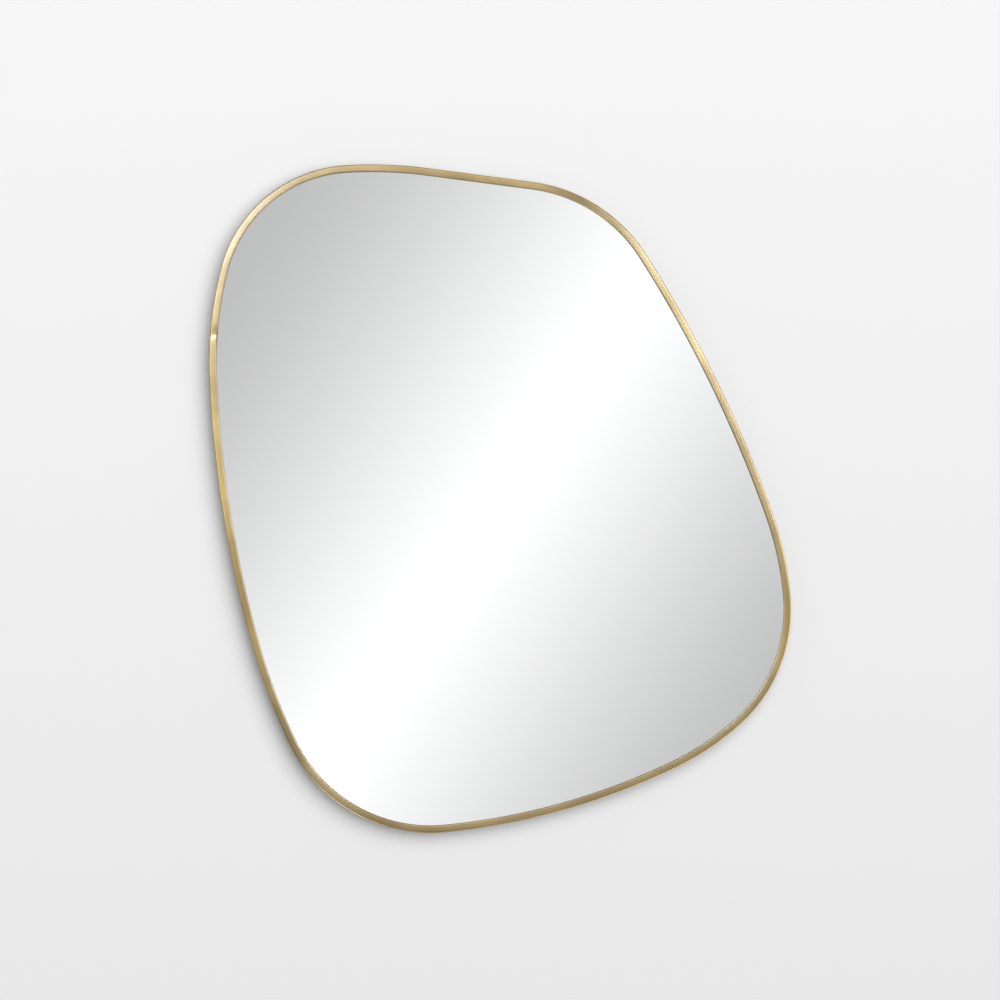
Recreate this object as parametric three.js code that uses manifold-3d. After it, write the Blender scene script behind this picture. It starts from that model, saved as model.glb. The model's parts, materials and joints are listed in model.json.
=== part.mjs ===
// A wall mirror with an irregular pebble outline in a slim metal frame. Millimetres, +Z up.
// The mirror faces -Y and the wall is the plane Y = 0. The origin lies on the wall,
// midway between the two hooks that the D-rings hang from.

import * as THREE from 'three';
import { mergeVertices } from 'three/addons/utils/BufferGeometryUtils.js';
import Module from 'manifold-3d';

const wasm = await Module();
wasm.setup();

// ---------- driving dimensions ----------

// the outline, over the outside of the frame
const mirror_width = 797;
const mirror_height = 915;
const top_edge_fall = 7.5; // degrees below level, towards the right
// the tangent arcs that follow the straight top edge, clockwise as seen from the front
const outline_arcs = {
  top_right_corner: { radius: 218, turn: 50 },
  right_side: { radius: 1750, turn: 13 },
  right_shoulder: { radius: 450, turn: 14.5 },
  lower_right_corner: { radius: 214, turn: 53.5 },
  lower_right_edge: { radius: 380, turn: 16 },
  bottom_edge: { radius: 936, turn: 20 },
  lower_left_corner: { radius: 214, turn: 69.5 },
  lower_left_side: { radius: 794, turn: 10 },
  left_side: { radius: null, turn: 13.5 }, // this radius closes the loop
  upper_left_side: { radius: 517, turn: 17 },
  upper_left_corner: { radius: 188, turn: 72 },
  upper_left_edge: { radius: 585, turn: 11 },
};
const outline_flatness = 0.2; // how far a facet may lie inside a true arc

// the frame, an L section: a face across the front and a wall down the side
const face_width = 10;
const face_thickness = 2;
const wall_thickness = 2;
const rear_recess = 4.75; // from the board back to the frame's rear edge
const outer_edge_radius = 2;
const inner_edge_radius = 0.6;

// the stack behind the face, from front to back
const gasket_thickness = 1;
const gasket_reveal = 0.5; // how far the gasket shows inside the face
const glass_thickness = 4;
const film_thickness = 0.25;
const tape_thickness = 1;
const board_thickness = 9;
const bumper_thickness = 8; // from the board to the wall

// clearances around the stack
const glass_clearance = 1;
const board_clearance = 1;
const gasket_clearance = 0.4;
const film_setback = 2; // from the edge of the glass

// strips of foam tape between the film and the board
const tape_count = 4;
const tape_width = 25;
const tape_pitch = 170;
const tape_end_margin = 110; // from the outline to a strip's end

// pan-head screws
const screw_radius = 1.75;
const screw_length = 9;
const screw_tip_length = 2;
const head_radius = 3.5;
const head_height = 2.4;
const head_rim_height = 0.8;
const recess_width = 1;
const recess_span = 4;
const recess_depth = 1.3;
const pilot_clearance = 0.3; // round the screw, in the board
const pilot_overrun = 0.5; // below the screw's tip
const through_clearance = 0.5; // round the screw, in a tab or strap

// L-shaped tabs, welded inside the wall and screwed to the board
const tab_count = 8;
const tab_width = 14;
const tab_reach = 18;
const tab_thickness = 1.5;
const tab_setback = 1; // from the rear edge of the frame
const tab_gap = 0.3; // to the wall, where the weld is

// D-ring hangers
const hanger_spacing = 406;
const hanger_rise = 200; // from the outline's centroid up to the rings' axis
const strap_width = 14;
const strap_thickness = 1.2;
const strap_screw_pitch = 16;
const strap_end_margin = 7;
const loop_wrap = 150; // degrees round the loop, from its foot's side to where the upper layer leaves it
const wire_radius = 1.5;
const ring_clearance = 0.3; // round the wire, in the loop of the strap
const ring_side_clearance = 0.75;
const ring_leg_length = 4;
const ring_inner_corner = 0.5; // radius inside the ring where its bar meets a leg
const ring_rest_gap = 0.3; // between a hanging ring and the edges of the strap in front of it
const screw_head_margin = 1; // between a hanging ring and the first screw

// round rubber bumpers
const bumper_radius = 10;
const bumper_edge_radius = 1.5;
const bumper_inset = 45; // from the outline to a bumper's centre
const bumper_places = { upper_right: 0.11, lower_right: 0.38, lower_left: 0.61, upper_left: 0.93 };

// how finely round things are faceted
const hole_sides = 16;
const screw_sides = 12;
const wire_sides = 10;
const corner_segments = 4;
const ring_flatness = 0.1;
const cut_overrun = 1; // how far a cutter stands clear of the face that it enters
const weld_distance = 1e-4; // corners of a mesh nearer than this are one

// ---------- finishes ----------

const brass_finish = new THREE.MeshStandardMaterial({ color: 0xc8b07e, roughness: 0.35, metalness: 1 });
const silvered_glass = new THREE.MeshStandardMaterial({ color: 0xe4e6e6, roughness: 0.03, metalness: 1 });
const black_foam = new THREE.MeshStandardMaterial({ color: 0x2a2926, roughness: 0.9, metalness: 0 });
const clear_film = new THREE.MeshStandardMaterial({ color: 0xc9d3d8, roughness: 0.4, metalness: 0 });
const white_foam = new THREE.MeshStandardMaterial({ color: 0xe9e8e2, roughness: 0.9, metalness: 0 });
const fibreboard = new THREE.MeshStandardMaterial({ color: 0xa98661, roughness: 0.85, metalness: 0 });
const zinc_steel = new THREE.MeshStandardMaterial({ color: 0xbfc1c3, roughness: 0.4, metalness: 1 });
const black_rubber = new THREE.MeshStandardMaterial({ color: 0x1c1c1c, roughness: 0.8, metalness: 0 });

// ---------- places worked out from the dimensions ----------

const board_back = -bumper_thickness;
const board_front = board_back - board_thickness;
const film_back = board_front - tape_thickness;
const glass_back = film_back - film_thickness;
const glass_front = glass_back - glass_thickness;
const face_back = glass_front - gasket_thickness;
const face_front = face_back - face_thickness;
const frame_back = board_back + rear_recess;

const strap_stack = 2 * strap_thickness; // the strap is folded double
const loop_bore_radius = wire_radius + ring_clearance;
const loop_radius = loop_bore_radius + strap_thickness;
const ring_corner_radius = ring_inner_corner + wire_radius; // this and the bend are to the wire's centre
const ring_bend_radius = strap_width / 2 + ring_side_clearance + wire_radius;
const ring_reach = ring_corner_radius + ring_leg_length + ring_bend_radius;
// a hanging ring crosses the strap's edges this far below its axis, and leans out to clear them
const strap_edge_drop = ring_corner_radius + ring_leg_length
  + Math.sqrt(ring_bend_radius ** 2 - (strap_width / 2) ** 2);
const ring_rest_lift = strap_stack + ring_rest_gap + wire_radius - loop_radius;
const ring_rest_tilt = Math.asin(ring_rest_lift / strap_edge_drop);
const first_screw_drop = ring_reach + wire_radius + screw_head_margin + head_radius;
const last_screw_drop = first_screw_drop + strap_screw_pitch;
const strap_length = last_screw_drop + strap_end_margin;

// the hooks hold the rings at the top of their inside, when they point up
const ring_axis_height = -(ring_reach - wire_radius);
const centroid_height = ring_axis_height - hanger_rise;

// ---------- loops of tangent lines and arcs ----------

// How far an arc of radius 1 travels when its heading turns clockwise by `turn`
function unitArc(heading, turn) {
  const end = heading - turn;
  return new THREE.Vector2(Math.sin(heading) - Math.sin(end), Math.cos(end) - Math.cos(heading));
}

// The points of a clockwise loop, each with the unit normal that points out of the loop.
// A piece is a straight {length}, or an arc {radius, turn} with its turn in radians.
function loopPoints(start, first_heading, pieces, error) {
  const points = [];
  const here = start.clone();
  let heading = first_heading;
  for (const piece of pieces) {
    if (piece.length !== undefined) {
      points.push({ at: here.clone(), out: new THREE.Vector2(-Math.sin(heading), Math.cos(heading)) });
      here.x += piece.length * Math.cos(heading);
      here.y += piece.length * Math.sin(heading);
      continue;
    }
    const steps = Math.ceil(piece.turn / (2 * Math.acos(1 - error / piece.radius)));
    const step = piece.turn / steps;
    for (let i = 0; i < steps; i += 1) {
      points.push({ at: here.clone(), out: new THREE.Vector2(-Math.sin(heading), Math.cos(heading)) });
      here.addScaledVector(unitArc(heading, step), piece.radius);
      heading -= step;
    }
  }
  return points;
}

// The outline's pieces. The length of the top edge and the radius of the left side close the loop.
function outlinePieces() {
  const first_heading = -THREE.MathUtils.degToRad(top_edge_fall);
  const along = new THREE.Vector2(Math.cos(first_heading), Math.sin(first_heading));
  const travelled = new THREE.Vector2();
  let closing_arc = null;
  let heading = first_heading;
  const drawn_arcs = Object.values(outline_arcs);
  for (const arc of drawn_arcs) {
    const turn = THREE.MathUtils.degToRad(arc.turn);
    const travel = unitArc(heading, turn);
    if (arc.radius === null) {
      closing_arc = travel;
    } else {
      travelled.addScaledVector(travel, arc.radius);
    }
    heading -= turn;
  }
  const across = along.cross(closing_arc);
  const top_edge_length = -travelled.cross(closing_arc) / across;
  const closing_radius = -along.cross(travelled) / across;
  const arcs = drawn_arcs.map((arc) => ({
    radius: arc.radius === null ? closing_radius : arc.radius,
    turn: THREE.MathUtils.degToRad(arc.turn),
  }));
  return [{ length: top_edge_length }, ...arcs];
}

function centroidOf(points) {
  const sum = new THREE.Vector2();
  let area = 0;
  points.forEach((point, i) => {
    const next = points[(i + 1) % points.length];
    const share = point.at.cross(next.at);
    sum.addScaledVector(point.at, share).addScaledVector(next.at, share);
    area += share;
  });
  return sum.divideScalar(3 * area);
}

// The outline at its overall size, with its centroid under the hooks
function makeOutline() {
  const drawn = loopPoints(
    new THREE.Vector2(),
    -THREE.MathUtils.degToRad(top_edge_fall),
    outlinePieces(),
    outline_flatness,
  );
  const box = new THREE.Box2().setFromPoints(drawn.map((point) => point.at));
  const drawn_size = box.getSize(new THREE.Vector2());
  const stretch = new THREE.Vector2(mirror_width, mirror_height).divide(drawn_size);
  const outline = drawn.map((point) => ({
    at: point.at.clone().multiply(stretch),
    out: point.out.clone().divide(stretch).normalize(),
  }));
  const shift = new THREE.Vector2(0, centroid_height).sub(centroidOf(outline));
  outline.forEach((point) => point.at.add(shift));
  return outline;
}

const outline = makeOutline();

function insetOutline(inset) {
  return outline.map((point) => point.at.clone().addScaledVector(point.out, -inset));
}

// Where a level line at a height meets the outline, on the left and on the right
function outlineSpan(height) {
  const meets = [];
  outline.forEach((point, i) => {
    const next = outline[(i + 1) % outline.length];
    const share = (height - point.at.y) / (next.at.y - point.at.y);
    if (share >= 0 && share < 1) meets.push(point.at.x + share * (next.at.x - point.at.x));
  });
  return [Math.min(...meets), Math.max(...meets)];
}

// The middle of the facet of the outline that is nearest to a share of the way round
function placeOnOutline(share) {
  let perimeter = 0;
  const facets = outline.map((point, i) => {
    const run = outline[(i + 1) % outline.length].at.clone().sub(point.at);
    const middle_distance = perimeter + run.length() / 2;
    perimeter += run.length();
    return { at: point.at.clone().addScaledVector(run, 0.5), heading: run.angle(), middle_distance };
  });
  const miss = (facet) => Math.abs(facet.middle_distance - share * perimeter);
  return facets.reduce((nearest, facet) => (miss(facet) < miss(nearest) ? facet : nearest));
}

// ---------- making and cutting geometry ----------

// A closed tube along a loop. The section's points are [inset, depth], with the depth along Y,
// and they go round from the outside of the loop towards +Y.
function sweptLoop(points, section) {
  const positions = [];
  for (const point of points) {
    for (const [inset, depth] of section) {
      const x = point.at.x - point.out.x * inset;
      const z = point.at.y - point.out.y * inset;
      positions.push(x, depth, z);
    }
  }
  const index = [];
  const count = section.length;
  for (let i = 0; i < points.length; i += 1) {
    const here = i * count;
    const ahead = ((i + 1) % points.length) * count;
    for (let j = 0; j < count; j += 1) {
      const k = (j + 1) % count;
      index.push(here + j, ahead + j, ahead + k);
      index.push(here + j, ahead + k, here + k);
    }
  }
  const geometry = new THREE.BufferGeometry();
  geometry.setAttribute('position', new THREE.Float32BufferAttribute(positions, 3));
  geometry.setIndex(index);
  return geometry;
}

// Points of a rounded corner of a section, from one angle to the other in degrees.
// At 0 degrees the corner faces out of the loop, and at 90 degrees it faces +Y.
function roundedCorner(inset, depth, radius, from, to) {
  const points = [];
  for (let i = 0; i <= corner_segments; i += 1) {
    const angle = THREE.MathUtils.degToRad(from + ((to - from) * i) / corner_segments);
    points.push([inset - radius * Math.cos(angle), depth + radius * Math.sin(angle)]);
  }
  return points;
}

// A plate whose outline is given in X and Z, between two depths along Y
function plate(points, front, back) {
  const shape = new THREE.Shape(points);
  const geometry = new THREE.ExtrudeGeometry(shape, { depth: back - front, bevelEnabled: false });
  return geometry.rotateX(Math.PI / 2).translate(0, back, 0);
}

// A side profile, drawn with its first axis along Z and its second along Y, as wide as given along X
function sideExtrusion(shape, width) {
  const options = { depth: width, bevelEnabled: false, curveSegments: hole_sides };
  return new THREE.ExtrudeGeometry(shape, options).rotateY(-Math.PI / 2).translate(width / 2, 0, 0);
}

function toManifold(geometry) {
  const bare = geometry.clone();
  bare.deleteAttribute('normal');
  bare.deleteAttribute('uv');
  const merged = mergeVertices(bare, weld_distance);
  return new wasm.Manifold(new wasm.Mesh({
    numProp: 3,
    vertProperties: merged.attributes.position.array,
    triVerts: new Uint32Array(merged.index.array),
  }));
}

function fromManifold(solid) {
  const { vertProperties, triVerts } = solid.getMesh();
  const geometry = new THREE.BufferGeometry();
  geometry.setAttribute('position', new THREE.BufferAttribute(vertProperties, 3));
  geometry.setIndex(new THREE.BufferAttribute(triVerts, 1));
  return geometry;
}

function cutAway(geometry, cutters) {
  let solid = toManifold(geometry);
  for (const cutter of cutters) solid = solid.subtract(toManifold(cutter));
  return fromManifold(solid);
}

// A round cutter along Y, centred on x and z, between two depths
function roundCutter(radius, x, z, front, back) {
  const cutter = new THREE.CylinderGeometry(radius, radius, back - front, hole_sides);
  return cutter.translate(x, (front + back) / 2, z);
}

// A screw's hole through sheet that lies on the board
function throughHole(z, thickness) {
  return roundCutter(screw_radius + through_clearance, 0, z, -cut_overrun, thickness + cut_overrun);
}

function addMesh(parent, name, geometry, material) {
  const mesh = new THREE.Mesh(geometry, material);
  mesh.name = name;
  parent.add(mesh);
  return mesh;
}

const mirror = new THREE.Group();

// ---------- frame and the stack in it ----------

function frameGeometry() {
  const section = [
    [0, frame_back],
    [wall_thickness, frame_back],
    [wall_thickness, face_back],
    [face_width, face_back],
    ...roundedCorner(
      face_width - inner_edge_radius, face_front + inner_edge_radius, inner_edge_radius, 180, 270,
    ),
    ...roundedCorner(outer_edge_radius, face_front + outer_edge_radius, outer_edge_radius, 270, 360),
  ];
  return sweptLoop(outline, section);
}

function gasketGeometry() {
  const outer = wall_thickness + gasket_clearance;
  const inner = face_width + gasket_reveal;
  const section = [[outer, face_back], [outer, glass_front], [inner, glass_front], [inner, face_back]];
  return sweptLoop(outline, section);
}

const glass_inset = wall_thickness + glass_clearance;
const board_inset = wall_thickness + board_clearance;

addMesh(mirror, 'frame', frameGeometry(), brass_finish);
addMesh(mirror, 'glazing_gasket', gasketGeometry(), black_foam);
addMesh(mirror, 'mirror_glass', plate(insetOutline(glass_inset), glass_front, glass_back), silvered_glass);
addMesh(
  mirror,
  'safety_film',
  plate(insetOutline(glass_inset + film_setback), glass_back, film_back),
  clear_film,
);

const top_tape_height = centroid_height + (tape_pitch * (tape_count - 1)) / 2;
for (let i = 0; i < tape_count; i += 1) {
  const height = top_tape_height - i * tape_pitch;
  const [left, right] = outlineSpan(height);
  const length = right - left - 2 * tape_end_margin;
  const tape = new THREE.BoxGeometry(length, tape_thickness, tape_width);
  const mesh = addMesh(mirror, `mounting_tape_${i + 1}`, tape, white_foam);
  mesh.position.set((left + right) / 2, board_front - tape_thickness / 2, height);
}

// ---------- tabs, hangers and bumpers: where they are ----------

// each tab's place on the outline, and its screw's place on the board
const screw_inset = wall_thickness + tab_gap + tab_thickness + (tab_reach - tab_thickness) / 2;
const tab_places = [];
for (let i = 0; i < tab_count; i += 1) {
  const place = placeOnOutline((i + 0.5) / tab_count);
  const inward = new THREE.Vector2(Math.sin(place.heading), -Math.cos(place.heading));
  tab_places.push({ ...place, screw: place.at.clone().addScaledVector(inward, screw_inset) });
}

const hangers = [
  { side: 'left', x: -hanger_spacing / 2 },
  { side: 'right', x: hanger_spacing / 2 },
];
const strap_screws = [
  { name: 'upper', drop: first_screw_drop },
  { name: 'lower', drop: last_screw_drop },
];

// ---------- backing board, with a pilot hole for every screw ----------

function pilotHole(x, z, clamped_thickness) {
  const depth = screw_length - clamped_thickness + pilot_overrun;
  return roundCutter(screw_radius + pilot_clearance, x, z, board_back - depth, board_back + cut_overrun);
}

const pilot_holes = tab_places.map(({ screw }) => pilotHole(screw.x, screw.y, tab_thickness));
for (const hanger of hangers) {
  for (const { drop } of strap_screws) {
    pilot_holes.push(pilotHole(hanger.x, ring_axis_height - drop, strap_stack));
  }
}
const board = cutAway(plate(insetOutline(board_inset), board_front, board_back), pilot_holes);
addMesh(mirror, 'backing_board', board, fibreboard);

// ---------- screws ----------

// The screw's head seats on Y = 0 and faces +Y, and its shank points along -Y
function screwGeometry() {
  const profile = [
    new THREE.Vector2(0, -screw_length),
    new THREE.Vector2(screw_radius, screw_tip_length - screw_length),
    new THREE.Vector2(screw_radius, 0),
    new THREE.Vector2(head_radius, 0),
  ];
  const crown_height = head_height - head_rim_height;
  for (let i = 0; i < corner_segments; i += 1) {
    const rise = (Math.PI / 2) * (i / corner_segments);
    const radius = head_radius * Math.cos(rise);
    profile.push(new THREE.Vector2(radius, head_rim_height + crown_height * Math.sin(rise)));
  }
  profile.push(new THREE.Vector2(0, head_height));
  const body = new THREE.LatheGeometry(profile, screw_sides);
  const slots = [0, Math.PI / 2].map((turn) => new THREE.BoxGeometry(
    recess_span, 2 * recess_depth, recess_width,
  ).rotateY(turn).translate(0, head_height, 0));
  return cutAway(body, slots);
}

const screw = screwGeometry();

// ---------- retaining tabs ----------

// The tab's foot lies on the board and its upstand follows the frame's wall.
// Its own +Z points out of the outline, from the outline's facet.
function tabGeometry() {
  const heel = -(wall_thickness + tab_gap);
  const upstand = frame_back - tab_setback - board_back;
  const shape = new THREE.Shape([
    new THREE.Vector2(heel, 0),
    new THREE.Vector2(heel, upstand),
    new THREE.Vector2(heel - tab_thickness, upstand),
    new THREE.Vector2(heel - tab_thickness, tab_thickness),
    new THREE.Vector2(heel - tab_reach, tab_thickness),
    new THREE.Vector2(heel - tab_reach, 0),
  ]);
  const hole = throughHole(-screw_inset, tab_thickness);
  return cutAway(sideExtrusion(shape, tab_width), [hole]);
}

const tab = tabGeometry();
tab_places.forEach((place, i) => {
  const seat = new THREE.Group();
  seat.position.set(place.at.x, board_back, place.at.y);
  seat.rotation.y = -place.heading;
  mirror.add(seat);
  addMesh(seat, `retaining_tab_${i + 1}`, tab, brass_finish);
  const tab_screw = addMesh(seat, `tab_screw_${i + 1}`, screw, zinc_steel);
  tab_screw.position.set(0, tab_thickness, -screw_inset);
});

// ---------- hangers ----------

// A strip folded double round the ring's bar, seen from its side. The bar's axis is at height 0.
function strapGeometry() {
  const leave = THREE.MathUtils.degToRad(loop_wrap);
  const leave_point = new THREE.Vector2(
    loop_radius * Math.cos(leave),
    loop_radius + loop_radius * Math.sin(leave),
  );
  const slope = Math.tan(leave - Math.PI / 2);
  const shape = new THREE.Shape();
  shape.moveTo(-strap_length, 0);
  shape.lineTo(0, 0);
  shape.absarc(0, loop_radius, loop_radius, -Math.PI / 2, leave, false);
  shape.lineTo(leave_point.x - (leave_point.y - strap_stack) / slope, strap_stack);
  shape.lineTo(-strap_length, strap_stack);
  const bore = new THREE.Path();
  bore.absarc(0, loop_radius, loop_bore_radius, 0, 2 * Math.PI, false);
  shape.holes.push(bore);
  const holes = strap_screws.map(({ drop }) => throughHole(-drop, strap_stack));
  return cutAway(sideExtrusion(shape, strap_width), holes);
}

// The ring hangs from its straight bar, which lies along X at the origin
function ringGeometry() {
  const quarter = Math.PI / 2;
  const bar_length = 2 * (ring_bend_radius - ring_corner_radius);
  const pieces = [
    { length: bar_length },
    { radius: ring_corner_radius, turn: quarter },
    { length: ring_leg_length },
    { radius: ring_bend_radius, turn: 2 * quarter },
    { length: ring_leg_length },
    { radius: ring_corner_radius, turn: quarter },
  ];
  const points = loopPoints(new THREE.Vector2(-bar_length / 2, 0), 0, pieces, ring_flatness);
  const section = [];
  for (let i = 0; i < wire_sides; i += 1) {
    const angle = (2 * Math.PI * i) / wire_sides;
    section.push([-wire_radius * Math.cos(angle), wire_radius * Math.sin(angle)]);
  }
  return sweptLoop(points, section);
}

const strap = strapGeometry();
const ring = ringGeometry();
for (const { side, x } of hangers) {
  const seat = new THREE.Group();
  seat.position.set(x, board_back, ring_axis_height);
  mirror.add(seat);
  addMesh(seat, `hanger_strap_${side}`, strap, zinc_steel);
  const d_ring = addMesh(seat, `d_ring_${side}`, ring, zinc_steel);
  d_ring.position.y = loop_radius;
  d_ring.rotation.x = ring_rest_tilt;
  for (const { name, drop } of strap_screws) {
    const hanger_screw = addMesh(seat, `hanger_screw_${side}_${name}`, screw, zinc_steel);
    hanger_screw.position.set(0, strap_stack, -drop);
  }
}

// ---------- wall bumpers ----------

function bumperGeometry() {
  const profile = [
    new THREE.Vector2(0, 0),
    new THREE.Vector2(bumper_radius, 0),
    new THREE.Vector2(bumper_radius, bumper_thickness - bumper_edge_radius),
    new THREE.Vector2(bumper_radius - bumper_edge_radius, bumper_thickness),
    new THREE.Vector2(0, bumper_thickness),
  ];
  return new THREE.LatheGeometry(profile, 2 * screw_sides);
}

const bumper = bumperGeometry();
for (const [name, share] of Object.entries(bumper_places)) {
  const place = placeOnOutline(share);
  const mesh = addMesh(mirror, `wall_bumper_${name}`, bumper, black_rubber);
  const x = place.at.x + bumper_inset * Math.sin(place.heading);
  const z = place.at.y - bumper_inset * Math.cos(place.heading);
  mesh.position.set(x, board_back, z);
}

export default mirror;
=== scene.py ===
import json
import math

import bmesh
import bpy
import numpy as np
from mathutils import Matrix, Vector
from mathutils.geometry import convex_hull_2d


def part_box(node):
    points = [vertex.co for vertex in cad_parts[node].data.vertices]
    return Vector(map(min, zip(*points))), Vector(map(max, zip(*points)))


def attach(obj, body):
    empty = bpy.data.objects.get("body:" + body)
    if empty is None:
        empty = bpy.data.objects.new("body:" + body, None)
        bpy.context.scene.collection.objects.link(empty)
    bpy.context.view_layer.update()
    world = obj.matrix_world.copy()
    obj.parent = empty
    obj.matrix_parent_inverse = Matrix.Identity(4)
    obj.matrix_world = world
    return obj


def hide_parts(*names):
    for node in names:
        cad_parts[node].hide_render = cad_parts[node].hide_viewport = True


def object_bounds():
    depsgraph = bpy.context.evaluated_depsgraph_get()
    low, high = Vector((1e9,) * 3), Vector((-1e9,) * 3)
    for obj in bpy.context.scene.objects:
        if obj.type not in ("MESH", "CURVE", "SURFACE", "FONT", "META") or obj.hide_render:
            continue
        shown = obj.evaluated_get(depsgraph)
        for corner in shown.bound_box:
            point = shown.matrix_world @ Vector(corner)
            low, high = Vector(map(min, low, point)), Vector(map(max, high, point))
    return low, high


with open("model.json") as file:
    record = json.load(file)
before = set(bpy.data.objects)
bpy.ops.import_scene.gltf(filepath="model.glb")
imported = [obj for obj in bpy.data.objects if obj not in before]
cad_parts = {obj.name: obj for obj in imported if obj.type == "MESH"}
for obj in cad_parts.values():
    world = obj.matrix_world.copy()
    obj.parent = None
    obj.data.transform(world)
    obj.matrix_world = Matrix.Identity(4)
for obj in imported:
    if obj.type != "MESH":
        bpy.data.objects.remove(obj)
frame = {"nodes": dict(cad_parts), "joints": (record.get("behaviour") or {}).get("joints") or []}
cad_low, cad_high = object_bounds()

MM = 0.001

# ---- sizes of the finer shapes ----

# the frame's section
rear_edge_radius = 0.3 * MM
inside_corner_radius = 0.6 * MM
inner_edge_radius = 0.9 * MM
outer_edge_radius = 2.0 * MM
face_crown_radius = 115 * MM  # the face is slightly domed across its width
face_crest_inset = 8.5 * MM
section_spacing = 1.6 * MM  # of the points round the section

# the seam where the frame's ends are welded together and ground flush
seam_height = 11.5 * MM  # above the hooks, on the left side
seam_dip_depth = 0.34 * MM
seam_dip_above = 10 * MM  # how far the dip reaches to either side
seam_dip_below = 4.5 * MM
seam_slant = 0.35  # the seam rises towards the glass
seam_narrowing = 0.9 * MM  # the lower end's face is this much narrower at the seam
seam_narrowing_above = 3 * MM
seam_narrowing_below = 16 * MM

# spacing of the swept shapes' stations
station_spacing = 3 * MM
seam_station_spacing = 0.8 * MM
seam_reach = 36 * MM  # how far from the seam the stations are closer

# glass, board and gasket
glass_arris = 0.5 * MM
board_arris = 0.6 * MM
gasket_lip_radius = 0.3 * MM
gasket_reveal = 0.25 * MM  # how far it shows past the face's inner edge
gasket_wall_gap = 0.4 * MM

# tabs
tab_thickness = 1.5 * MM
tab_bend_outside = 1.8 * MM
tab_bend_inside = 0.8 * MM
tab_edge_radius = 0.3 * MM
tab_corner_radius = 3 * MM
tab_hole_radius = 2.25 * MM
weld_bead_radius = 1.1 * MM
weld_bead_start = 0.4 * MM  # behind the foot's face
weld_bead_end = 0.2 * MM  # short of the upstand's end
weld_bead_ripple = 0.12  # of its radius
weld_bead_unevenness = 0.05  # of its radius

# screws
screw_head_radius = 3.5 * MM
screw_head_height = 2.4 * MM
screw_rim_height = 0.8 * MM
screw_rim_chamfer = 0.25 * MM
screw_crown_fullness = 0.8
screw_length = 9 * MM
screw_tip_length = 2 * MM
screw_turn = 137.5  # degrees from one screw's cross to the next one's
thread_start = 0.4 * MM  # below the head
thread_radius = 1.75 * MM
thread_core_radius = 1.2 * MM
thread_pitch = 1.4 * MM
thread_sharpness = 2.6
thread_tip_rise = 1.6  # how much faster than the core the thread grows from the tip
thread_rows = 56
recess_reach = 2.0 * MM
recess_width = 1.0 * MM
recess_depth = 1.7 * MM
pilot_radius = 2.05 * MM
pilot_spare = 0.5 * MM  # below the screw's tip

# hangers
wire_radius = 1.5 * MM
wire_sides = 28
ring_corner_radius = 2 * MM
strap_thickness = 1.2 * MM
strap_layer_gap = 0.06 * MM
strap_corner_radius = 4 * MM
strap_softening = 0.15 * MM
strap_bend_reach = 1.6 * MM  # where the upper layer lands on the lower
strap_hole_radius = 2.25 * MM
loop_bore_radius = 1.8 * MM
loop_wrap = 150  # degrees round the loop to where the upper layer leaves it

# bumpers
bumper_edge_radius = 1.5 * MM
bumper_foot_chamfer = 0.3 * MM
bumper_groove_radius = 5.5 * MM
bumper_groove_half_width = 0.9 * MM
bumper_groove_depth = 0.7 * MM
bumper_middle_radius = 0.6 * MM
bumper_sides = 48

round_sides = 32  # of screws and round holes
tab_softening = 0.2 * MM
softened_angle = 40  # degrees: the stamped pieces' edges are bevelled where they are sharper
sharp_angle = 35  # degrees: shading breaks at edges that are sharper
cutter_spare = 1 * MM  # how far a cutter sticks out of what it cuts
same_point = 0.002 * MM

# ---- the outline, read from the CAD frame ----


def corners_of(name):
    """The corners of a CAD node."""
    return [vertex.co for vertex in frame["nodes"][name].data.vertices]


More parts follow.
